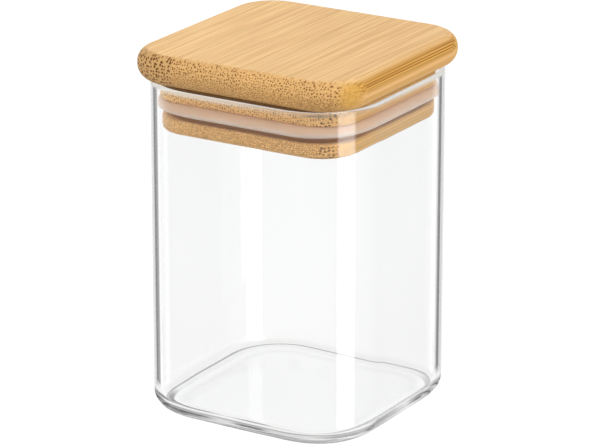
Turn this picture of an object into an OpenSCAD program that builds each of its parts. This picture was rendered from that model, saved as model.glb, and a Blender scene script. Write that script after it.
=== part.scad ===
// Square spice jar: a clear glass jar, a bamboo lid with a plug, and a silicone seal.
// The origin is the centre of the jar's base. The bamboo grain of the lid runs along Y, so the
// lid shows its end grain on the front, at -Y, and its long grain on the right, at +X.

/* [Glass jar] */
// Outside width of the square jar
jar_w = 65; // [62:0.5:80]
// Height of the jar up to the top of its rounded rim
jar_h = 90; // [60:1:140]
// Outside radius of the four upright corners
jar_corner_r = 17.2; // [15:0.1:20]
// Thickness of the wall
wall_t = 1.5; // [1.2:0.1:2.2]
// Thickness of the floor
floor_t = 2; // [1.6:0.1:3]
// Outside radius of the heel, between floor and walls
heel_r = 4.6; // [3:0.1:6]
// Inside radius of the heel
heel_inner_r = 3.2; // [1.5:0.1:4]

/* [Lid cap] */
// How far the cap stands out past the glass on each side
cap_overhang = 1; // [0.5:0.1:3]
// Thickness of the cap
cap_t = 8.3; // [8.2:0.1:12]
// Radius of the cap's corners, seen from above
cap_corner_r = 12.4; // [8:0.1:16]
// Radius of the rounded upper edge
cap_top_r = 3.7; // [1:0.1:4]
// Radius of the rounded lower edge
cap_bottom_r = 4.1; // [1:0.1:4.2]
// Gap between the rim of the glass and the underside of the cap
rim_gap = 0.3; // [0.2:0.1:1]

/* [Lid plug] */
// How far the flange of the plug stays inside the glass on each side
flange_gap = 2.7; // [1.5:0.1:3.5]
// How far the neck of the plug stays inside the glass on each side
neck_gap = 2.2; // [1.5:0.1:3.5]
// Radius of the flange's corners, seen from above
flange_corner_r = 10; // [8:0.1:12]
// Depth of the plug below the cap
plug_h = 13.3; // [12:0.1:18]
// Thickness of the flange under the seal
flange_t = 4; // [3:0.1:5]
// Radius of the flange's lower edge
flange_edge_r = 1.5; // [0.5:0.1:2]
// Height of the groove that holds the seal
groove_h = 4.9; // [4.5:0.1:6]
// Depth of the groove behind the face of the flange
groove_depth = 2.3; // [1.5:0.1:3]

/* [Seal] */
// Gap between the lip of the seal and the glass
seal_gap = 0.2; // [0.1:0.05:0.5]
// Radius of the lip, which is widest near its top
lip_r = 1.5; // [1:0.1:1.8]
// Height of the foot, under the lip
foot_h = 0.9; // [0.5:0.1:1.5]
// How far the foot stands back from the face of the flange
foot_inset = 1; // [0.5:0.1:1.2]
// Room behind the seal, at the bottom of the groove
seal_back_gap = 0.05; // [0.02:0.01:0.2]

/* [Bamboo strips] */
// Width of one strip as it is milled
strip_w = 19; // [15:0.5:19.5]
// Place of the cap's joint that is nearest the left side
cap_joint_x = -17.6; // [-24:0.1:-15]
// Place of the plug's joint that is nearest the left side
plug_joint_x = -15.3; // [-20:0.1:-15]

/* [Hidden] */
$fn = 96;

STRIPS = 4;
BIG = 200;

glass_color = [0.90, 0.94, 0.94, 0.35];
seal_color = [0.90, 0.86, 0.82];
cap_color = [0.87, 0.68, 0.43];
plug_color = [0.82, 0.60, 0.34];
strip_shades = [0, -0.05, 0.02, -0.02];

half = jar_w / 2;
rim_r = wall_t / 2;
inner_half = half - wall_t;
jar_corner = half - jar_corner_r;

cap_half = half + cap_overhang;
cap_corner = cap_half - cap_corner_r;
cap_z = jar_h + rim_gap;

flange_half = inner_half - flange_gap;
neck_half = inner_half - neck_gap;
plug_corner = flange_half - flange_corner_r;
plug_z = cap_z - plug_h;
groove_z = plug_z + flange_t;
groove_half = flange_half - groove_depth;

lip_half = inner_half - seal_gap;
seal_half = groove_half + seal_back_gap;

// Sweeps an outline round a square with rounded corners. The outline is drawn as a section, with
// x measured outwards from the corner's centre and y upwards. corner is how far that centre lies
// from the middle of the square along X and along Y.
module around_square(corner) {
    for (turn = [0:90:270]) rotate(turn) {
        translate([corner, corner, 0])
            rotate_extrude(angle = 90) children();
        translate([corner, -corner, 0])
            rotate([90, 0, 180])
                mirror([1, 0, 0])
                    linear_extrude(2 * corner) children();
    }
}

// The middle of a swept solid, between the centres of its corners.
module core(corner, z, h) {
    translate([-corner, -corner, z])
        cube([2 * corner, 2 * corner, h]);
}

// A rectangle with one rounded corner on its outer side, at its top or at its bottom.
module round_top(x, z, h, r) {
    difference() {
        translate([0, z]) square([x, h]);
        translate([x - r, z + h - r]) difference() {
            square([2 * r, 2 * r]);
            circle(r);
        }
    }
}

module round_bottom(x, z, h, r) {
    mirror([0, 1]) round_top(x, -z - h, h, r);
}

// Section of the glass: floor, heel, wall and fire-polished rim.
module glass_section() {
    wall_x = jar_corner_r;
    difference() {
        round_bottom(wall_x, 0, jar_h - rim_r, heel_r);
        round_bottom(wall_x - wall_t, floor_t, jar_h, heel_inner_r);
    }
    translate([wall_x - rim_r, jar_h - rim_r]) circle(rim_r);
}

module glass_jar() {
    color(glass_color) {
        around_square(jar_corner) glass_section();
        core(jar_corner, 0, floor_t);
    }
}

// Section of the cap, a bull nose with a rounder lower edge.
module cap_section() {
    nose_z = cap_z + cap_bottom_r;
    round_bottom(cap_corner_r, cap_z, cap_bottom_r, cap_bottom_r);
    round_top(cap_corner_r, nose_z, cap_t - cap_bottom_r, cap_top_r);
}

module cap_board() {
    around_square(cap_corner) cap_section();
    core(cap_corner, cap_z, cap_t);
}

// The plug is a flange and a neck, and the core that joins them is the bottom of the groove.
module flange_section() {
    round_bottom(flange_corner_r, plug_z, flange_t, flange_edge_r);
}

module neck_section() {
    neck_z = groove_z + groove_h;
    translate([0, neck_z]) square([neck_half - plug_corner, cap_z - neck_z]);
}

// The bottom of the groove follows the corners of the glass, as the seal does.
module groove_section() {
    translate([0, groove_z]) square([groove_half - jar_corner, groove_h]);
}

module plug_board() {
    around_square(plug_corner) flange_section();
    core(plug_corner, plug_z, flange_t);
    around_square(plug_corner) neck_section();
    core(plug_corner, groove_z + groove_h, cap_z - groove_z - groove_h);
    around_square(jar_corner) groove_section();
    core(jar_corner, groove_z, groove_h);
}

// Where a straight line from point p touches the circle with centre c, on its outer side.
function touch_point(p, c, r) =
    let (
        d = p - c,
        reach = norm(d),
        turn = acos(r / reach),
        start = atan2(d[1], d[0])
    )
    c + r * [cos(start + turn), sin(start + turn)];

// Section of the seal: a flat band in the groove with its foot on the flange, and a lip that is
// round above and runs straight in to the top of the foot.
module seal_section() {
    back_x = seal_half - jar_corner;
    foot_x = flange_half - foot_inset - jar_corner;
    top_z = groove_z + groove_h;
    lip_c = [lip_half - jar_corner - lip_r, top_z - lip_r];
    root = [foot_x, groove_z + foot_h];
    translate([back_x, groove_z]) square([foot_x - back_x, groove_h]);
    translate(lip_c) circle(lip_r);
    polygon([root, touch_point(root, lip_c, lip_r), lip_c, [lip_c[0], top_z], [foot_x, top_z]]);
}

module seal_ring() {
    color(seal_color) around_square(jar_corner) seal_section();
}

// The stretch of X that strip number i takes, out of a board with joints a strip's width apart.
module strip_space(i, first_joint) {
    from = i == 1 ? -BIG : first_joint + (i - 2) * strip_w;
    to = i == STRIPS ? BIG : first_joint + (i - 1) * strip_w;
    translate([from, -BIG / 2, 0]) cube([to - from, BIG, BIG]);
}

module cap_strip(i) {
    color(cap_color + strip_shades[i - 1] * [1, 1, 1]) intersection() {
        cap_board();
        strip_space(i, cap_joint_x);
    }
}

module plug_strip(i) {
    color(plug_color + strip_shades[i - 1] * [1, 1, 1]) intersection() {
        plug_board();
        strip_space(i, plug_joint_x);
    }
}

glass_jar();
seal_ring();
cap_strip(1);  // cap_strip_1
cap_strip(2);  // cap_strip_2
cap_strip(3);  // cap_strip_3
cap_strip(4);  // cap_strip_4
plug_strip(1);  // plug_strip_1
plug_strip(2);  // plug_strip_2
plug_strip(3);  // plug_strip_3
plug_strip(4);  // plug_strip_4
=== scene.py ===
# %% [markdown]
# A square spice jar, built around its construction model. The jar is clear glass, so most of
# this lesson is about what glass shows: clean walls, dark lines where light is trapped in the
# glass, and bright bands at the rounded corners. The lid is bamboo, and its look is in the
# grain: dark pores on the cut ends of the fibres and fine streaks along them.

# %% Load the frame
import math

import bmesh
import bpy
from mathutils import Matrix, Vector


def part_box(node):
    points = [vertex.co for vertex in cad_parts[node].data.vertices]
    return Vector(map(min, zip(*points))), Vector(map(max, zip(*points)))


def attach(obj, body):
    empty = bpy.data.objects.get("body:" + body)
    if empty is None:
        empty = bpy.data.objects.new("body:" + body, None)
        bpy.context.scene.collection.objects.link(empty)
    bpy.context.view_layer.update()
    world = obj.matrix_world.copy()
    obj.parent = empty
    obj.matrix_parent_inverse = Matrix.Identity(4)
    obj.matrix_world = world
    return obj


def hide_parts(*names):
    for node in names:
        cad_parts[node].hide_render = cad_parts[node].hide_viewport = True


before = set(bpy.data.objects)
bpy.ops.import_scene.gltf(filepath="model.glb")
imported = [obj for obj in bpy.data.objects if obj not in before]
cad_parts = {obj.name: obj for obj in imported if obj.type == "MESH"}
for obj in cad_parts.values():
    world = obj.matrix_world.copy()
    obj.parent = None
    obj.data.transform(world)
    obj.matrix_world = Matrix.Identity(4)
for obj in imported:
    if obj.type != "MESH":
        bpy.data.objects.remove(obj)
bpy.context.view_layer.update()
MM = 0.001
print("nodes:", sorted(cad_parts))

# %% [markdown]
# Every size below is read back from the construction model, or is a real size in metres, so
# that each finished piece lands exactly where its plain solid is. The glass is the outermost
# standing piece, and the cap, the plug and the seal are measured the same way.

# %% Sizes
glass_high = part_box("glass_jar")[1]
seal_low, seal_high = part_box("seal_ring")
cap_low, cap_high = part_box("cap_strip_2")
plug_low, plug_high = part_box("plug_strip_2")

jar_half = glass_high.x
jar_height = glass_high.z
jar_corner_r = 17.2 * MM
wall_t = 1.5 * MM
floor_t = 2.0 * MM
heel_r = 4.6 * MM
heel_inner_r = 3.2 * MM

cap_half = cap_high.y
cap_corner_r = 12.4 * MM
cap_top_r = 3.7 * MM
cap_bottom_r = 4.1 * MM

neck_half = plug_high.y
flange_step = 0.5 * MM
flange_half = neck_half - flange_step
flange_corner_r = 10.0 * MM
flange_edge_r = 1.5 * MM
groove_depth = 2.3 * MM
soft_edge_r = 0.25 * MM

jar_corner = jar_half - jar_corner_r
cap_corner = cap_half - cap_corner_r
plug_corner = flange_half - flange_corner_r
print("jar", 2 * jar_half, "x", jar_height, "cap", 2 * cap_half, "plug", 2 * flange_half)

# %% [markdown]
# The photograph was taken with a long lens from a little above, with one upright corner of the
# jar towards the camera. The camera comes first. Its place was worked out from the outlines of
# the jar: a wrong distance would show in how much the upright edges of the glass lean towards
# each other.

# %% Camera
CAMERA_PLACE = Vector((0.4630, -0.7549, 0.3478))
CAMERA_TURN = math.radians(31.55)
CAMERA_PITCH = math.radians(18.66)
CAMERA_LENS = 215.8

camera_data = bpy.data.cameras.new("camera")
camera_data.lens = CAMERA_LENS
camera_data.sensor_width = 36.0
camera_data.clip_end = 20.0
camera = bpy.data.objects.new("camera", camera_data)
camera.location = CAMERA_PLACE
camera.rotation_euler = (math.pi / 2 - CAMERA_PITCH, 0.0, CAMERA_TURN)
bpy.context.scene.collection.objects.link(camera)
bpy.context.scene.camera = camera
print("camera at", tuple(round(v, 4) for v in camera.location))

# %% [markdown]
# Materials are easier to read as sums than as wired boxes. This small class wraps one socket
# and turns Python's own plus, minus and times into Math nodes. A second class holds the tree
# of one material, and makes every other kind of node from its type, its settings and the
# values or links of its sockets.

# %% Wires
class Wire:
    """One output socket of a shader tree, on which Python's operators work."""

    def __init__(self, tree, socket):
        self.tree = tree
        self.socket = socket

    def maths(self, operation, *values):
        return self.tree.node("ShaderNodeMath", {"operation": operation}, dict(enumerate(values)))

    def __add__(self, other):
        return self.maths("ADD", self, other)

    def __radd__(self, other):
        return self.maths("ADD", other, self)

    def __sub__(self, other):
        return self.maths("SUBTRACT", self, other)

    def __rsub__(self, other):
        return self.maths("SUBTRACT", other, self)

    def __mul__(self, other):
        return self.maths("MULTIPLY", self, other)

    def __rmul__(self, other):
        return self.maths("MULTIPLY", other, self)

    def __abs__(self):
        return self.maths("ABSOLUTE", self)

    def at_least(self, other):
        return self.maths("MAXIMUM", self, other)

    def above(self, other):
        return self.maths("GREATER_THAN", self, other)

    def between(self, low, high):
        """0 below low, 1 above high, and a smooth step from one to the other."""
        inputs = {"Value": self, "From Min": low, "From Max": high}
        return self.tree.node("ShaderNodeMapRange", {"interpolation_type": "SMOOTHSTEP"}, inputs)

    def stretch(self, start, full, fading, end):
        """1 from full to fading, with soft sides that reach out to start and end."""
        return self.between(start, full) - self.between(fading, end)


print("sums of sockets ready")

# %% Node trees
class Tree:
    """The nodes of one material or of the world."""

    def __init__(self, tree):
        self.tree = tree
        tree.nodes.clear()

    def node(self, kind, settings=None, values=None, output=0):
        made = self.tree.nodes.new(kind)
        for name, value in (settings or {}).items():
            setattr(made, name, value)
        for name, value in (values or {}).items():
            self.put(made.inputs[name], value)
        return Wire(self, made.outputs[output]) if len(made.outputs) else None

    def put(self, socket, value):
        if isinstance(value, Wire):
            self.tree.links.new(value.socket, socket)
        else:
            socket.default_value = value

    def sibling(self, wire, output):
        return Wire(self, wire.socket.node.outputs[output])

    def mix(self, share, first, second):
        """A blend of two colours: the first where share is 0, the second where it is 1."""
        settings = {"data_type": "RGBA"}
        return self.node("ShaderNodeMix", settings, {0: share, 6: first, 7: second}, output=2)

    def mix_shaders(self, share, first, second):
        return self.node("ShaderNodeMixShader", None, {0: share, 1: first, 2: second})


def new_material(name, kind=Tree, **details):
    material = bpy.data.materials.new(name)
    material.use_nodes = True
    return material, kind(material.node_tree, **details)


print("node trees ready")

# %% [markdown]
# The studio is a white room for whatever looks straight at it, and for whatever looks at it
# through clear glass. Light that has bounced inside the glass, or off it, came from somewhere
# else in a real studio. Going round from the backdrop there is the dark room, which draws the
# dark outlines, then a pale sheet on each side, which brightens the glass next to them, and
# behind the camera a tall softbox, which makes the two bright bands at the corners. A pair of
# narrow stands before the backdrop sets the thin dark lines. All of it is written as an angle
# round the jar. Soft light for everything that isn't shiny is one plain grey level.

# %% Studio directions
BACKDROP_HALF_ANGLE = 22.0
DARK_END_ANGLE = 40.0
EDGE_SOFTNESS = 7.0
STAND_ANGLES = (5.0, 8.0, 11.0, 14.0)
LEFT_SHEET_ANGLES = (44.0, 50.0, 72.0, 82.0)
RIGHT_SHEET_ANGLES = (44.0, 48.0, 54.0, 60.0)
SOFTBOX_ANGLES = (110.0, 111.0, 145.0, 146.0)

world = bpy.data.worlds.new("studio")
world.use_nodes = True
bpy.context.scene.world = world
studio = Tree(world.node_tree)

way = studio.node("ShaderNodeTexCoord", output="Generated")
forward = (-math.sin(CAMERA_TURN), math.cos(CAMERA_TURN), 0.0)
rightward = (math.cos(CAMERA_TURN), math.sin(CAMERA_TURN), 0.0)
dot = {"operation": "DOT_PRODUCT"}
ahead = studio.node("ShaderNodeVectorMath", dot, {0: way, 1: forward}, output="Value")
aside = studio.node("ShaderNodeVectorMath", dot, {0: way, 1: rightward}, output="Value")
way_up = studio.node("ShaderNodeSeparateXYZ", None, {0: way}, output="Z")
to_right = ahead.maths("ARCTAN2", aside, ahead) * math.degrees(1.0)
to_left = 0.0 - to_right
spread = abs(to_right)
print("backdrop faces", round(math.degrees(CAMERA_TURN), 1), "degrees left of +Y")

# %% Studio light
AMBIENT = 0.42
ROOM_DARK = 0.15
ROOM_GREY = 0.66
ROOM_ABOVE = 0.9
ABOVE_FROM = 0.25
STAND_DEPTH = 0.5
SHEET_STRENGTH = 0.6
SOFTBOX_STRENGTH = 3.6

off_backdrop = spread.between(BACKDROP_HALF_ANGLE, BACKDROP_HALF_ANGLE + EDGE_SOFTNESS)
past_dark = spread.between(DARK_END_ANGLE, DARK_END_ANGLE + EDGE_SOFTNESS)
room = 1.0 - off_backdrop * (1.0 - ROOM_DARK) + past_dark * (ROOM_GREY - ROOM_DARK)
room = room - spread.stretch(*STAND_ANGLES) * STAND_DEPTH
sheets = to_left.stretch(*LEFT_SHEET_ANGLES) + to_right.stretch(*RIGHT_SHEET_ANGLES)
room = room + to_right.stretch(*SOFTBOX_ANGLES) * SOFTBOX_STRENGTH + sheets * SHEET_STRENGTH
room = room * (1.0 - way_up.between(0.0, ABOVE_FROM) * (1.0 - ROOM_ABOVE))

path = studio.node("ShaderNodeLightPath")
is_reflected = studio.sibling(path, "Glossy Depth").above(0.5)
is_soft_light = studio.sibling(path, "Diffuse Depth").above(0.5)
seen = 1.0 + is_reflected * (room - 1.0)
level = seen + is_soft_light * (AMBIENT - seen)
sky = studio.node("ShaderNodeBackground", None, {"Color": (1, 1, 1, 1), "Strength": level})
studio.node("ShaderNodeOutputWorld", None, {"Surface": sky})
print("studio: ambient", AMBIENT)

# %% [markdown]
# The floor is white and keeps a soft shadow of the jar. It gives most of its white by itself,
# and the rest from the lamps, so that the shadow only takes a little away. Under a real jar
# little light gets between the foot and the table, and the heel gathers that darkness into thin
# lines. A floor that glows would never be dark there, so the dark is drawn on it, and only rays
# that come through the glass see it. What is reflected in the glass looks through the floor
# into the room. Only the heel, low in the glass, mirrors the floor close to the jar.

# %% Floor sheet
FLOOR_RADIUS = 2.5
FLOOR_DROP = 0.02 * MM

floor_mesh = bpy.data.meshes.new("floor")
floor_build = bmesh.new()
bmesh.ops.create_circle(floor_build, cap_ends=True, segments=96, radius=FLOOR_RADIUS)
floor_build.to_mesh(floor_mesh)
floor_build.free()
floor = bpy.data.objects.new("floor", floor_mesh)
floor.location.z = -FLOOR_DROP
bpy.context.scene.collection.objects.link(floor)
print("floor radius", FLOOR_RADIUS)

# %% Places on the floor
floor_material, ground = new_material("floor_white")
spot = ground.node("ShaderNodeTexCoord", output="Object")
spot_x = ground.node("ShaderNodeSeparateXYZ", None, {0: spot}, output="X")
spot_y = ground.sibling(spot_x, "Y")
right_mm = spot_x * (1.0 / MM)
front_mm = spot_y * (-1.0 / MM)


def past_walls(x, y):
    """How far a place is outside the walls of the jar, in millimetres, and less than 0 inside."""
    over_x = (abs(x) - jar_corner).at_least(0.0)
    over_y = (abs(y) - jar_corner).at_least(0.0)
    square = over_x * over_x + over_y * over_y
    return (square.maths("SQRT", square) - jar_corner_r) * (1.0 / MM)


outside = past_walls(spot_x, spot_y)
at_front = front_mm.between(14.0, 22.0)
front_left = right_mm.between(-6.0, -13.0)
front_middle = 1.0 - abs(right_mm - 3.0).between(2.0, 7.0)
at_right = right_mm.between(20.0, 27.0)
print("foot of the walls at", jar_half)

# %% Dark lines under the foot
FOOT_PLACE = -4.1
FOOT_HALF_WIDTHS = (0.8, 1.4)
FOOT_FAR = 0.10
FOOT_NEAR = 0.26
FOOT_DARKEST = 0.64
FOOT_RIGHT = 0.35
THIN_LINES = ((-2.3, 0.9, 0.80), (0.5, 4.0, 0.10), (-8.2, 2.2, 0.09))
BESIDE_FOOT = (0.0, 0.6, 5.0, 6.0)
BESIDE_SHADE = 0.50
BESIDE_DARKEST = 0.45


def thin_line(place, half_width, share):
    """What is left of the light on a soft line, at a set distance in mm outside the walls."""
    return 1.0 - (1.0 - abs(outside - place).between(0.0, half_width)) * share


path = ground.node("ShaderNodeLightPath")
is_direct = 1.0 - ground.sibling(path, "Diffuse Depth").above(0.5)
is_through = (1.0 - ground.sibling(path, "Is Camera Ray")) * is_direct
is_reflected = ground.sibling(path, "Glossy Depth").above(0.5) * is_direct

foot_line = 1.0 - abs(outside - FOOT_PLACE).between(*FOOT_HALF_WIDTHS)
foot_parts = (front_left * FOOT_DARKEST + front_middle * FOOT_DARKEST) * at_front + at_right * FOOT_RIGHT
contact = 1.0 - foot_line * (FOOT_FAR + FOOT_NEAR * at_front.at_least(at_right) + foot_parts)
for line in THIN_LINES:
    contact = contact * thin_line(*line)
beside_shade = BESIDE_SHADE + BESIDE_DARKEST * front_left.at_least(front_middle) * at_front
contact = contact * (1.0 - is_reflected * outside.stretch(*BESIDE_FOOT) * beside_shade)
print("thin lines:", len(THIN_LINES))

# %% Floor material
FLOOR_GLOW = 0.88
FLOOR_LIT = 0.22
FLOOR_PLAIN = 0.80
THROUGH_GLASS = 0.955
FAR_OUT = (10.0, 14.0)
HIGH_UP = (15.0 * MM, 25.0 * MM)

level = 1.0 + is_through * (contact * THROUGH_GLASS - 1.0)
glow_colour = ground.mix(level * FLOOR_GLOW, (0, 0, 0, 1), (1, 1, 1, 1))
lit = ground.node("ShaderNodeBsdfDiffuse", None, {"Color": (FLOOR_LIT, FLOOR_LIT, FLOOR_LIT, 1)})
glow = ground.node("ShaderNodeEmission", None, {"Color": glow_colour, "Strength": 1.0})
white = ground.node("ShaderNodeAddShader", None, {0: lit, 1: glow})
plain = ground.node("ShaderNodeBsdfDiffuse", None, {"Color": (FLOOR_PLAIN, FLOOR_PLAIN, FLOOR_PLAIN, 1)})
clear = ground.node("ShaderNodeBsdfTransparent")

from_high = ground.sibling(path, "Ray Length").between(*HIGH_UP)
past_heel = ground.sibling(path, "Transparent Depth").above(0.5)
is_far = outside.between(*FAR_OUT).at_least(from_high).at_least(past_heel)
surface = ground.mix_shaders(is_direct, plain, white)
surface = ground.mix_shaders(is_reflected * is_far, surface, clear)
ground.node("ShaderNodeOutputMaterial", None, {"Surface": surface})
floor_mesh.materials.append(floor_material)
print("floor glow and lit parts:", FLOOR_GLOW, FLOOR_LIT)

# %% [markdown]
# The lamps are three large soft panels: a weak one high over the lid, one beside the camera on
# the left for the cut ends of the bamboo, and one on the right for its long grain. They are
# invisible to reflections, because the studio already holds the reflections.

# %% Lamps
def panel(name, place, aim, size, power):
    """A square area lamp that looks from place towards aim."""
    data = bpy.data.lights.new(name, "AREA")
    data.shape = "SQUARE"
    data.size = size
    data.energy = power
    lamp = bpy.data.objects.new(name, data)
    lamp.location = place
    lamp.rotation_euler = (Vector(aim) - Vector(place)).to_track_quat("-Z", "Y").to_euler()
    lamp.visible_camera = False
    lamp.visible_glossy = False
    lamp.visible_transmission = False
    bpy.context.scene.collection.objects.link(lamp)


jar_middle = (0.0, 0.0, 0.06)
panel("overhead", (-0.15, -0.05, 0.95), jar_middle, size=0.7, power=0.6)
panel("front_left", (-0.30, -0.72, 0.74), jar_middle, size=0.6, power=4.0)
panel("right", (0.80, 0.04, 0.64), jar_middle, size=0.6, power=4.4)

# %% [markdown]
# All the hard pieces are squares with rounded corners, seen from above, and a curved outline
# from the side. So one helper makes them: it stacks rings, each a rounded square of its own
# size and height, and joins them with faces. Each side of a ring has a point just past the end
# of each corner, so that the smooth shading of the curve doesn't run out over the flat. Blown
# glass has no place where a corner starts, and a sudden start shows as a kink in everything
# behind it, so the curve of a glass corner can begin early and softly.

# %% Corners
SOFTNESS = 0.7


def bend(reach, lead, steps):
    """A quarter turn round (0, 0). With a lead, its curve begins early and softly on each side."""
    turns = [i / steps for i in range(steps + 1)]
    if not lead:
        angles = [math.radians(90.0 * t) for t in turns]
        return [(reach * math.cos(a), reach * math.sin(a)) for a in angles]
    x, y = 0.0, 0.0
    walk = [(x, y)]
    for t, next_t in zip(turns, turns[1:]):
        u = (t + next_t) / 2
        a = math.pi / 2 * ((1.0 - SOFTNESS) * u + SOFTNESS * u * u * (3 - 2 * u))
        x, y = x - math.sin(a), y + math.cos(a)
        walk.append((x, y))
    scale = (reach + lead) / y
    return [(reach + x * scale, y * scale - lead) for x, y in walk]


print("a soft corner of radius 1:", len(bend(1.0, 0.2, 8)), "points")

# %% Rings and lofts
EASE = 0.25 * MM


def ring_points(corner, reach, z, steps, lead=0.0):
    """A rounded square at height z. corner is where the corner arcs are centred."""
    points = []
    for turn in range(4):
        local = [(corner + reach, corner - lead - EASE)]
        local += [(corner + x, corner + y) for x, y in bend(reach, lead, steps)]
        local.append((corner - lead - EASE, corner + reach))
        c, s = round(math.cos(turn * math.pi / 2)), round(math.sin(turn * math.pi / 2))
        points += [(x * c - y * s, x * s + y * c, z) for x, y in local]
    return points


def loft(rings, steps, lead=0.0):
    """A closed bmesh through rings given as (corner, reach, z), with flat ends."""
    build = bmesh.new()
    rows = []
    for corner, reach, z in rings:
        rows.append([build.verts.new(p) for p in ring_points(corner, reach, z, steps, lead)])
    for low, high in zip(rows, rows[1:]):
        for i in range(len(low)):
            j = (i + 1) % len(low)
            build.faces.new((low[i], low[j], high[j], high[i]))
    build.faces.new(list(reversed(rows[0])))
    build.faces.new(rows[-1])
    bmesh.ops.recalc_face_normals(build, faces=build.faces)
    return build


def arc(corner, x, z, radius, start, end, steps):
    """Rings along a quarter or half circle of the outline, from angle start to end."""
    out = []
    for i in range(steps + 1):
        a = math.radians(start + (end - start) * i / steps)
        out.append((corner, x + radius * math.cos(a), z + radius * math.sin(a)))
    return out


def finished(build, name, material, sharp=35.0):
    """Turns a bmesh into an object with smooth faces and sharp edges over the given angle."""
    mesh = bpy.data.meshes.new(name)
    build.to_mesh(mesh)
    build.free()
    mesh.shade_smooth()
    mesh.set_sharp_from_angle(angle=math.radians(sharp))
    mesh.materials.append(material)
    piece = bpy.data.objects.new(name, mesh)
    bpy.context.scene.collection.objects.link(piece)
    return piece


print("loft helper ready")

# %% [markdown]
# The glass is blown into a square mould, so it is thin, even and clear, and its rim is melted
# round by a flame. A boolean of two boxes would leave a hard rim and a hard heel, so the wall
# is one outline that runs under the floor, round the heel, up the wall, over the rim and down
# the inside. Glass needs a closed wall with both its surfaces, or it won't bend light.
#
# Some light is trapped in the glass and goes round in its heel and corners until it is lost. A
# renderer would follow it for ever, so after a few bounces it gets a colour: dark and light
# lines drawn out along the heel, and a pale grey elsewhere. The melted rim gathers light from
# all round, which is a warm glow here. The mirror image of the heel in the walls behind it is
# left out, as a photographer would retouch it: a ray that was mirrored and is in the air inside
# the jar, after passing two or four glass surfaces, goes straight on through the heel.

# %% Trapped light
TRAPPED_LOW = (0.05, 0.05, 0.055, 1.0)
TRAPPED_HIGH = (0.95, 0.95, 0.95, 1.0)
WALL_SHADE = 0.25
HEEL_TOP = (5.0 * MM, 8.0 * MM)
PATCH_MIDDLE = 3.0
PATCH_START = 18.5
PATCH_SPACING = 24.0
PATCH_UNEVEN = 6.0
LINE_ALONG = 0.06 / MM
LINE_ACROSS = 2.2
LINE_EDGES = (0.43, 0.47)

glass_material, clear_glass = new_material("clear_glass")
spot = clear_glass.node("ShaderNodeTexCoord", output="Object")
spot_x = clear_glass.node("ShaderNodeSeparateXYZ", None, {0: spot}, output="X")
spot_y, spot_z = clear_glass.sibling(spot_x, "Y"), clear_glass.sibling(spot_x, "Z")
from_corner = (spot_x + spot_y) * (1.0 / MM)

uneven = clear_glass.node("ShaderNodeTexNoise", None, {"Vector": spot, "Scale": 90.0, "Detail": 1.0})
along_heel = abs(from_corner - PATCH_MIDDLE) - PATCH_START + PATCH_UNEVEN * (uneven - 0.5)
patches = 0.5 - 0.5 * along_heel.maths("COSINE", along_heel * (2 * math.pi / PATCH_SPACING))
drawn = clear_glass.node("ShaderNodeCombineXYZ", None, {
    "X": (spot_x + spot_y) * LINE_ALONG,
    "Y": past_walls(spot_x, spot_y) * LINE_ACROSS,
    "Z": spot_z * (LINE_ACROSS / MM),
})
lines = clear_glass.node("ShaderNodeTexNoise", None, {"Vector": drawn, "Scale": 1.0, "Detail": 0.0})
dark_line = 1.0 - lines.between(*LINE_EDGES)
far_left = from_corner.between(-38.0, -46.0)
heel_shade = dark_line * (1.0 - 0.45 * patches) + 0.42 * (1.0 - patches) + 0.60 * far_left
in_heel = 1.0 - spot_z.between(*HEEL_TOP)
shade = WALL_SHADE + in_heel * (heel_shade - WALL_SHADE)
trapped_light = clear_glass.mix(shade, TRAPPED_HIGH, TRAPPED_LOW)
print("trapped light repeats along the heel every", PATCH_SPACING, "mm")

# %% Glass material
GLASS_IOR = 1.474
GLASS_TINT = (0.985, 0.987, 0.988, 1.0)
GLASS_SHADOW = (0.95, 0.96, 0.96, 1.0)
TRAPPED_DEPTH = 2.5
RIM_LIGHT = (0.80, 0.76, 0.68, 1.0)
RIM_ANYWHERE = 0.10
RIM_SHARE = 0.35
RIM_SIDES = (12.0, 44.0)
MIRROR_TOP = (7.0 * MM, 11.0 * MM)

body = clear_glass.node("ShaderNodeBsdfPrincipled", None, {
    "Base Color": GLASS_TINT,
    "Roughness": 0.0,
    "IOR": GLASS_IOR,
    "Transmission Weight": 1.0,
})
in_rim = spot_z.between(glass_high.z - 1.5 * MM, glass_high.z - 0.8 * MM)
rim_share = in_rim * (RIM_ANYWHERE + RIM_SHARE * abs(from_corner).between(*RIM_SIDES))
rim_light = clear_glass.node("ShaderNodeEmission", None, {"Color": RIM_LIGHT, "Strength": 1.0})

path = clear_glass.node("ShaderNodeLightPath")
glossy_depth = clear_glass.sibling(path, "Glossy Depth")
from_three = abs(clear_glass.sibling(path, "Transmission Depth") - 3.0)
inside_jar = from_three.above(0.5) - from_three.above(1.5)
mirrored = glossy_depth.above(0.5) * inside_jar * (1.0 - spot_z.between(*MIRROR_TOP))
nothing = clear_glass.node("ShaderNodeBsdfTransparent")
trapped = glossy_depth.above(TRAPPED_DEPTH)
escape = clear_glass.node("ShaderNodeEmission", None, {"Color": trapped_light, "Strength": 1.0})
is_shadow_ray = clear_glass.sibling(path, "Is Shadow Ray")
casts_light = is_shadow_ray.at_least(clear_glass.sibling(path, "Is Diffuse Ray"))
open_air = clear_glass.node("ShaderNodeBsdfTransparent", None, {"Color": GLASS_SHADOW})

surface = clear_glass.mix_shaders(rim_share, body, rim_light)
surface = clear_glass.mix_shaders(mirrored, surface, nothing)
surface = clear_glass.mix_shaders(trapped, surface, escape)
surface = clear_glass.mix_shaders(casts_light, surface, open_air)
clear_glass.node("ShaderNodeOutputMaterial", None, {"Surface": surface})
print("glass index", GLASS_IOR)

# %% Glass jar
GLASS_STEPS = 40
HEEL_STEPS = 16
RIM_STEPS = 14
CORNER_LEAD = 2.9 * MM

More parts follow.
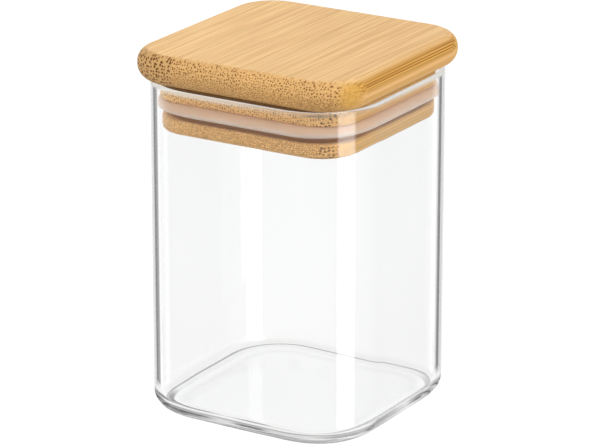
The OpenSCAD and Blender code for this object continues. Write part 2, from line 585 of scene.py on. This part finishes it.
rim_r = wall_t / 2
wall_x = jar_corner_r
rim_z = jar_height - rim_r

outline = [(jar_corner, wall_x - heel_r - EASE, 0.0)]
outline += arc(jar_corner, wall_x - heel_r, heel_r, heel_r, -90, 0, HEEL_STEPS)
outline += [(jar_corner, wall_x, heel_r + EASE), (jar_corner, wall_x, rim_z - EASE)]
outline += arc(jar_corner, wall_x - rim_r, rim_z, rim_r, 0, 180, RIM_STEPS)
inner_x = wall_x - wall_t
inner_z = floor_t + heel_inner_r
outline += [(jar_corner, inner_x, rim_z - EASE), (jar_corner, inner_x, inner_z + EASE)]
outline += arc(jar_corner, inner_x - heel_inner_r, inner_z, heel_inner_r, 0, -90, HEEL_STEPS)
outline += [(jar_corner, inner_x - heel_inner_r - EASE, floor_t)]

glass = finished(loft(outline, GLASS_STEPS, CORNER_LEAD), "glass", glass_material, 60.0)
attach(glass, "jar")
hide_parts("glass_jar")
print("glass faces:", len(glass.data.polygons))

# %% [markdown]
# Bamboo has no rings and no knots here. It is a soft ground full of fibre bundles that all run
# the same way. Cut across, each bundle shows as a dark pore with a brown sheath, large near
# the inside of the culm and small and close near its skin. Cut along, the same bundles are
# fine streaks. So the pattern is solid: stretched cells run through the wood along Y, and each
# surface shows the cut that it makes. Where the wood is close to the rim of the glass hardly any
# light reaches it, and that shade is painted into its colour as a darker brown.

# %% Bamboo colours
HONEY_LIGHT = (0.95, 0.635, 0.300)
HONEY_DARK = (0.77, 0.450, 0.185)
END_LIGHT = (0.84, 0.510, 0.205)
END_DARK = (0.50, 0.240, 0.062)
SHEATH = (0.50, 0.225, 0.055)
PORE = (0.120, 0.042, 0.012)
AMBER_LIGHT = (0.84, 0.460, 0.100)
AMBER_DARK = (0.36, 0.145, 0.022)
# Painted shade: the dark brown of wood close to the rim of the glass, where little light reaches.
PAINTED_RIM_SHADE = (0.14, 0.060, 0.018)


def toned(colour, tone=1.0):
    return tuple(c * tone for c in colour) + (1.0,)


print("honey", toned(HONEY_LIGHT))

# %% Bamboo fibres
class Wood(Tree):
    """The tree of one strip: places in millimetres, cuts, and its own part of the pattern."""

    def __init__(self, tree, seed):
        super().__init__(tree)
        self.seed = seed
        spot = self.node("ShaderNodeTexCoord", output="Object")
        spot = self.node("ShaderNodeVectorMath", {"operation": "SCALE"}, {0: spot, "Scale": 1.0 / MM})
        shift = (seed * 17.3, seed * 31.7, seed * 7.9)
        self.place = self.node("ShaderNodeVectorMath", {"operation": "ADD"}, {0: spot, 1: shift})
        self.x = self.node("ShaderNodeSeparateXYZ", None, {0: spot}, output="X")
        self.z = self.sibling(self.x, "Z")
        facing = self.node("ShaderNodeTexCoord", output="Normal")
        facing_x = self.node("ShaderNodeSeparateXYZ", None, {0: facing}, output="X")
        facing_y = abs(self.sibling(facing_x, "Y"))
        self.side_cut = abs(facing_x).between(0.30, 0.75)
        self.end_cut = facing_y.between(0.12, 0.42)
        self.pore_cut = facing_y.between(0.30, 0.75)
        self.rough_edge = 2.4 * (self.fibres(1.6, 40.0) - 0.5)

    def fibres(self, across, along, detail=2.0):
        """Noise drawn out along the grain: across and along are sizes in millimetres."""
        scales = {0: self.place, 1: (1.0 / across, 1.0 / along, 1.0 / across)}
        drawn = self.node("ShaderNodeVectorMath", {"operation": "MULTIPLY"}, scales)
        return self.node("ShaderNodeTexNoise", None, {"Vector": drawn, "Scale": 1.0, "Detail": detail})

    def bundles(self, spacing, size):
        """Cores and sheaths of the fibre bundles, which run through the strip along Y."""
        drift = 0.3 * self.fibres(5.0, 25.0, 0.0)
        u = (self.x + drift) * (1.0 / spacing) + self.seed * 3.7
        v = (self.z - drift) * (1.0 / spacing) + self.seed * 5.3
        section = self.node("ShaderNodeCombineXYZ", None, {"X": u, "Y": v})
        near = self.node("ShaderNodeTexVoronoi", {"voronoi_dimensions": "2D"},
                         {"Vector": section, "Scale": 1.0, "Randomness": 0.72}, output="Distance")
        chance = self.node("ShaderNodeSeparateColor", None, {0: self.sibling(near, "Color")})
        past = near - size * (0.60 + 0.75 * chance)
        return 1.0 - past.between(-0.08, 0.08), 1.0 - past.between(-0.05, 0.24)


print("bamboo fibres ready")

# %% Long grain
SKIN_HEIGHT = cap_high.z / MM - 2.2


def honey_grain(wood, fine, tone):
    """The top and the sides, where the fibres lie along the surface as fine streaks."""
    lines = wood.fibres(0.42, 70.0, 2.0)
    broad = wood.fibres(2.6, 120.0, 2.0)
    streak = (0.58 * fine + 0.28 * lines + 0.14 * broad).between(0.40, 0.58)
    honey = wood.mix(streak, toned(HONEY_DARK, tone), toned(HONEY_LIGHT, tone))
    veins = wood.fibres(0.50, 34.0, 0.0).between(0.64, 0.74)
    return wood.mix(veins * 0.20, honey, toned(HONEY_DARK, tone * 0.72))


def amber_skin(wood, tone):
    """The long grain close to the skin of the culm, with a dark amber band near the top."""
    band = 1.0 - abs(wood.z + wood.rough_edge * 0.5 - SKIN_HEIGHT).between(0.4, 2.3)
    threads = 0.60 * wood.fibres(0.22, 90.0, 1.0) + 0.40 * wood.fibres(0.55, 110.0, 1.0)
    threads = threads.between(0.38, 0.60)
    amber = wood.mix(threads, toned(AMBER_DARK, tone), toned(AMBER_LIGHT, tone))
    pale = wood.mix(threads, toned(AMBER_LIGHT, tone * 0.86), toned(HONEY_DARK, tone * 1.15))
    return wood.mix(band, pale, amber)


print("amber band at height", round(SKIN_HEIGHT, 1), "mm")

# %% Cut ends
SMALL_CORE = 0.75
SMALL_SHEATH = 0.6


def end_bundles(wood, large, small, turn):
    """Cores and sheaths on a cut end, and how far small bundles have given way to large ones."""
    large_core, large_sheath = wood.bundles(*large)
    small_core, small_sheath = wood.bundles(*small)
    inner = (wood.z + wood.rough_edge).between(*turn)
    core = small_core * SMALL_CORE + inner * (large_core - small_core * SMALL_CORE)
    sheath = small_sheath * SMALL_SHEATH + inner * (large_sheath - small_sheath * SMALL_SHEATH)
    return core, sheath, inner


def end_ground(wood, end, skin, speckle, sheath, core):
    """The cut end: speckled ground, then sheaths, then pores, and amber at the skin."""
    grit = (0.6 * wood.fibres(0.22, 0.6, 1.0) + 0.4 * wood.fibres(0.42, 1.5, 1.0)).between(0.37, 0.61)
    across = wood.mix(grit * speckle, toned(END_LIGHT, end), toned(END_DARK, end))
    across = wood.mix(sheath * 0.75, across, toned(SHEATH, end))
    across = wood.mix(core * (0.45 + 0.55 * wood.pore_cut), across, toned(PORE))
    amber = wood.mix(grit, toned(AMBER_LIGHT, end * 0.98), toned(AMBER_LIGHT, end * 0.80))
    return wood.mix(skin * 0.9, across, amber)


print("small pores are", SMALL_CORE, "as strong as large ones")

# %% Bamboo material
NO_EDGE = 99.0
BUMP_DEPTH = 0.12 * MM


def bamboo(name, seed, tone, end, large, small, turn, fuzz, shadow, edge=NO_EDGE):
    """The bamboo of one strip.

    tone is how light the long grain is, and end the same for the cut ends of the fibres.
    large and small are (spacing, size) of the fibre bundles, in millimetres and as a share.
    turn is the pair of heights between which small bundles give way to large ones. fuzz is how
    strong the fine speckle is. shadow is (height where it starts, height where it is full,
    share) of the painted shade by the rim. edge is where, along X, the strip turns to amber skin.
    """
    material, wood = new_material(name, Wood, seed=seed)
    skin = (wood.x + wood.rough_edge).between(edge - 1.2, edge + 1.8)
    fine = wood.fibres(0.24, 30.0, 1.0)
    core, sheath, inner = end_bundles(wood, large, small, turn)

    along = wood.mix(wood.side_cut * skin, honey_grain(wood, fine, tone), amber_skin(wood, tone))
    along = wood.mix(core * 0.12, along, toned(PORE))
    across = end_ground(wood, end, skin, fuzz * (1.0 - 0.6 * inner), sheath, core)
    colour = wood.mix(wood.end_cut, along, across)
    # Painted shade: wood close to the glass rim is darkened towards a dark brown, less on the long-grain
    # sides.
    start, full, share = shadow
    painted_shade = wood.z.between(start, full) * share * (1.0 - 0.7 * wood.side_cut)
    colour = wood.mix(painted_shade, colour, toned(PAINTED_RIM_SHADE))

    height = 0.12 * fine - core * wood.end_cut
    bump = wood.node("ShaderNodeBump", None, {"Strength": 0.6, "Distance": BUMP_DEPTH, "Height": height})
    surface = wood.node("ShaderNodeBsdfPrincipled", None, {
        "Base Color": colour,
        "Roughness": 0.50 + 0.25 * core * wood.end_cut,
        "Specular IOR Level": 0.20,
        "Normal": bump,
    })
    wood.node("ShaderNodeOutputMaterial", None, {"Surface": surface})
    return material


print("bamboo bump", BUMP_DEPTH)

# %% Cap bamboo
cap_turn = (cap_low.z / MM + 2.2, cap_low.z / MM + 5.4)
# Painted shade: the lowest part of the cap's nose is darkened a little.
cap_shadow = (cap_low.z / MM + 1.4, cap_low.z / MM + 0.4, 0.30)
cap_looks = [
    dict(tone=1.04, end=0.82, large=(0.86, 0.25), small=(0.70, 0.22), turn=(90.0, 93.0), fuzz=0.5),
    dict(tone=1.00, end=0.96, large=(0.68, 0.190), small=(0.50, 0.19), turn=cap_turn, fuzz=0.8),
    dict(tone=0.98, end=1.03, large=(0.65, 0.175), small=(0.47, 0.19), turn=cap_turn, fuzz=1.0),
    dict(tone=0.97, end=0.97, large=(0.76, 0.190), small=(0.50, 0.21), turn=cap_turn, fuzz=0.9, edge=29.9),
]
cap_materials = [bamboo(f"bamboo_cap_{i}", i, shadow=cap_shadow, **look)
                 for i, look in enumerate(cap_looks, 1)]
print("bamboo materials:", len(cap_materials))

# %% [markdown]
# The cap is a board of four strips glued side by side, then milled and sanded to one shape. So
# it is made the same way here: one board with its rounded nose, sawn at the glue joints. The
# joints are read from the construction model.

# %% Cap strips
BOARD_STEPS = 24
NOSE_STEPS = 12


def sawn(build, from_x, to_x):
    """Cuts a board down to the stretch between two planes across X, and closes the cuts."""
    for x, way in ((from_x, -1.0), (to_x, 1.0)):
        geometry = build.verts[:] + build.edges[:] + build.faces[:]
        cut = bmesh.ops.bisect_plane(build, geom=geometry, plane_co=(x, 0, 0),
                                     plane_no=(way, 0, 0), clear_outer=True)
        loop = [e for e in cut["geom_cut"] if isinstance(e, bmesh.types.BMEdge)]
        if loop:
            bmesh.ops.edgeloop_fill(build, edges=loop)
    return build


def cap_rings():
    nose = cap_low.z + cap_bottom_r
    top = cap_high.z - cap_top_r
    rings = [(cap_corner, cap_corner_r - cap_bottom_r - EASE, cap_low.z)]
    rings += arc(cap_corner, cap_corner_r - cap_bottom_r, nose, cap_bottom_r, -90, 0, NOSE_STEPS)
    rings += arc(cap_corner, cap_corner_r - cap_top_r, top, cap_top_r, 0, 90, NOSE_STEPS)
    rings += [(cap_corner, cap_corner_r - cap_top_r - EASE, cap_high.z)]
    return rings


def make_strips(board, rings, materials):
    """One piece for each strip of a board, sawn where the construction model has its joints."""
    pieces = []
    for number, material in enumerate(materials, 1):
        node = f"{board}_strip_{number}"
        low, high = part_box(node)
        piece = finished(sawn(loft(rings, BOARD_STEPS), low.x, high.x), f"bamboo_{node}", material)
        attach(piece, "lid")
        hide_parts(node)
        pieces.append(piece)
    return pieces


cap_pieces = make_strips("cap", cap_rings(), cap_materials)
print("cap strips:", [len(p.data.polygons) for p in cap_pieces])

# %% [markdown]
# The plug is a second board of strips under the first, with its joints staggered. It has a
# groove all round that holds the seal. The groove follows the corners of the glass, which are
# rounder than the corners of the flange below it.

# %% Plug outline
FLANGE_STEPS = 8
SOFT_STEPS = 3


def plug_rings():
    edge = flange_corner_r - flange_edge_r
    neck = neck_half - plug_corner
    groove = flange_half - groove_depth - jar_corner
    low, soft = plug_low.z, soft_edge_r
    rings = [(plug_corner, edge - EASE, low)]
    rings += arc(plug_corner, edge, low + flange_edge_r, flange_edge_r, -90, 0, FLANGE_STEPS)
    rings += arc(plug_corner, flange_corner_r - soft, seal_low.z - soft, soft, 0, 90, SOFT_STEPS)
    rings += [(jar_corner, groove, seal_low.z), (jar_corner, groove, seal_high.z)]
    rings += arc(plug_corner, neck - soft, seal_high.z + soft, soft, -90, 0, SOFT_STEPS)
    rings += [(plug_corner, neck, plug_high.z)]
    return rings


print("rings up the plug:", len(plug_rings()))

# %% Plug strips
plug_turn = (plug_low.z / MM + 2.0, plug_low.z / MM + 8.0)
# Painted shade: the top of the neck, seen just under the cap, is darkened almost fully.
plug_shadow = (plug_high.z / MM - 2.3, plug_high.z / MM - 1.6, 0.90)
# Painted light: the plug's cut ends are painted much lighter than the cap's, standing in for the light
# that the cap's overhang and the glass keep from them.
plug_looks = [
    dict(tone=0.98, end=1.32, large=(0.70, 0.15), small=(0.50, 0.20), turn=plug_turn, fuzz=0.9),
    dict(tone=0.98, end=1.30, large=(0.66, 0.15), small=(0.50, 0.20), turn=plug_turn, fuzz=1.0),
    dict(tone=0.98, end=1.30, large=(0.70, 0.16), small=(0.50, 0.21), turn=plug_turn, fuzz=1.0),
    dict(tone=0.98, end=1.24, large=(0.85, 0.20), small=(0.90, 0.28), turn=plug_turn, fuzz=0.9, edge=26.5),
]
plug_materials = [bamboo(f"bamboo_plug_{i}", i + 10, shadow=plug_shadow, **look)
                  for i, look in enumerate(plug_looks, 1)]
plug_pieces = make_strips("plug", plug_rings(), plug_materials)
print("plug strips:", [len(p.data.polygons) for p in plug_pieces])

# %% [markdown]
# The seal is one ring of soft silicone with the same section all the way round, so it is a job
# for Geometry Nodes: a rounded square as the path, the outline of the section, and Curve to
# Mesh between them. Silicone is milky: some light goes in and comes out a little further on,
# and where it is thin, near its top, the bamboo behind it warms its colour. Its foot is painted
# dark brown, partly the bamboo behind it and partly painted shade of the gap under the lip. The
# soft corners of the glass come in a hair further than plain arcs, so the lip stays clear of them.

# %% Seal material
SILICONE_TOP = (0.74, 0.490, 0.330, 1.0)
SILICONE_LOW = (0.80, 0.645, 0.550, 1.0)
# Painted shade: the foot is dark brown, partly the bamboo behind the thin silicone and partly the shadow
# in the gap under the lip.
SILICONE_FOOT_SHADE = (0.42, 0.160, 0.020, 1.0)
SILICONE_IOR = 1.41
THIN_TOP = (seal_high.z - 2.8 * MM, seal_high.z - 1.0 * MM)
FOOT_TOP = (seal_low.z + 0.8 * MM, seal_low.z + 1.5 * MM)

silicone_material, rubber = new_material("milky_silicone")
spot = rubber.node("ShaderNodeTexCoord", output="Object")
height = rubber.node("ShaderNodeSeparateXYZ", None, {0: spot}, output="Z")
cloud = rubber.node("ShaderNodeTexNoise", None, {"Vector": spot, "Scale": 180.0, "Detail": 2.0})
thin = (height + 1.2 * MM * (cloud - 0.5)).between(*THIN_TOP)
above_foot = height.between(*FOOT_TOP)
milky = rubber.mix(above_foot, SILICONE_FOOT_SHADE, rubber.mix(thin, SILICONE_LOW, SILICONE_TOP))
surface = rubber.node("ShaderNodeBsdfPrincipled", None, {
    "Base Color": milky,
    "Roughness": 0.30 + 0.12 * cloud,
    "IOR": SILICONE_IOR,
    "Subsurface Weight": 0.50,
    "Subsurface Radius": (4.0 * MM, 3.0 * MM, 2.2 * MM),
    "Subsurface Scale": 1.0,
})
rubber.node("ShaderNodeOutputMaterial", None, {"Surface": surface})
print("silicone", SILICONE_LOW[:3])

# %% Seal section
lip_r = 1.5 * MM
foot_h = 0.9 * MM
foot_inset = 1.0 * MM
seal_back_gap = 0.05 * MM
LIP_CLEARANCE = 0.05 * MM
LIP_STEPS = 18

back_x = flange_half - groove_depth + seal_back_gap - jar_corner
foot_x = flange_half - foot_inset - jar_corner
reach = seal_high.x - jar_corner - LIP_CLEARANCE
lip_x, lip_z = reach - lip_r, seal_high.z - lip_r
away, rise = lip_x - foot_x, lip_z - (seal_low.z + foot_h)
touch = math.atan2(-rise, -away) + math.acos(lip_r / math.hypot(away, rise))

section = [(back_x, seal_high.z)]
for i in range(LIP_STEPS + 1):
    a = math.pi / 2 + (touch - math.pi / 2) * i / LIP_STEPS
    section.append((lip_x + lip_r * math.cos(a), lip_z + lip_r * math.sin(a)))
section += [(foot_x, seal_low.z + foot_h), (foot_x, seal_low.z), (back_x, seal_low.z)]
print("seal section points:", len(section), "lip from", round(math.degrees(touch)), "degrees")

# %% Seal tree
def sweep_tree():
    """Geometry Nodes that sweep a flat outline round a square with rounded corners."""
    group = bpy.data.node_groups.new("sweep_round_square", "GeometryNodeTree")
    sockets = group.interface.new_socket
    sockets("Swept", in_out="OUTPUT", socket_type="NodeSocketGeometry")
    sockets("Section", in_out="INPUT", socket_type="NodeSocketGeometry")
    sockets("Corner Centre", in_out="INPUT", socket_type="NodeSocketFloat")
    sockets("Corner Radius", in_out="INPUT", socket_type="NodeSocketFloat")
    sockets("Corner Steps", in_out="INPUT", socket_type="NodeSocketInt")
    sockets("Material", in_out="INPUT", socket_type="NodeSocketMaterial")

    def node(kind, settings=None, values=None):
        made = group.nodes.new(kind)
        for name, value in (settings or {}).items():
            setattr(made, name, value)
        for name, value in (values or {}).items():
            if isinstance(value, bpy.types.NodeSocket):
                group.links.new(value, made.inputs[name])
            else:
                made.inputs[name].default_value = value
        return made.outputs[0] if len(made.outputs) else None

    given = group.nodes.new("NodeGroupInput").outputs
    half = node("ShaderNodeMath", {"operation": "ADD"},
                {0: given["Corner Centre"], 1: given["Corner Radius"]})
    side = node("ShaderNodeMath", {"operation": "MULTIPLY"}, {0: half, 1: 2.0})
    square = node("GeometryNodeCurvePrimitiveQuadrilateral", {"mode": "RECTANGLE"},
                  {"Width": side, "Height": side})
    route = node("GeometryNodeFilletCurve", {"mode": "POLY"},
                 {"Curve": square, "Radius": given["Corner Radius"], "Count": given["Corner Steps"]})
    outline = node("GeometryNodeMeshToCurve", None, {0: given["Section"]})
    swept = node("GeometryNodeCurveToMesh", None, {"Curve": route, "Profile Curve": outline})
    real = node("GeometryNodeRealizeInstances", None, {0: swept})
    dressed = node("GeometryNodeSetMaterial", None, {"Geometry": real, "Material": given["Material"]})
    node("NodeGroupOutput", None, {0: dressed})
    return group


tree = sweep_tree()
print("seal tree nodes:", len(tree.nodes))

# %% Seal ring
SEAL_STEPS = 28

outline_mesh = bpy.data.meshes.new("seal_section")
count = len(section)
outline_mesh.from_pydata([(x - reach, -z, 0.0) for x, z in section],
                         [(i, (i + 1) % count) for i in range(count)], [])
section_object = bpy.data.objects.new("seal_section", outline_mesh)
bpy.context.scene.collection.objects.link(section_object)
modifier = section_object.modifiers.new("sweep", "NODES")
modifier.node_group = tree
choices = {"Corner Centre": jar_corner, "Corner Radius": reach, "Corner Steps": SEAL_STEPS,
           "Material": silicone_material}
for item in tree.interface.items_tree:
    if item.in_out == "INPUT" and item.name in choices:
        modifier[item.identifier] = choices[item.name]
bpy.context.view_layer.update()
evaluated = section_object.evaluated_get(bpy.context.evaluated_depsgraph_get())
seal_mesh = bpy.data.meshes.new_from_object(evaluated)
section_object.modifiers.clear()
bpy.data.objects.remove(section_object)
print("swept faces:", len(seal_mesh.polygons))

# %% Seal piece
seal_build = bmesh.new()
seal_build.from_mesh(seal_mesh)
volume = seal_build.calc_volume(signed=True)
seal_build.free()
seal_mesh.name = "silicone_seal"
seal_mesh.shade_smooth()
seal_mesh.set_sharp_from_angle(angle=math.radians(35.0))
seal = bpy.data.objects.new("silicone_seal", seal_mesh)
bpy.context.scene.collection.objects.link(seal)
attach(seal, "lid")
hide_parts("seal_ring")
print("seal faces:", len(seal_mesh.polygons), "volume mm3:", round(volume * 1e9),
      "materials:", [m.name for m in seal_mesh.materials])

# %% [markdown]
# The colours are meant to render as they are written, so the picture is shown without any film
# curve.

# %% Finish
bpy.context.scene.view_settings.view_transform = "Standard"
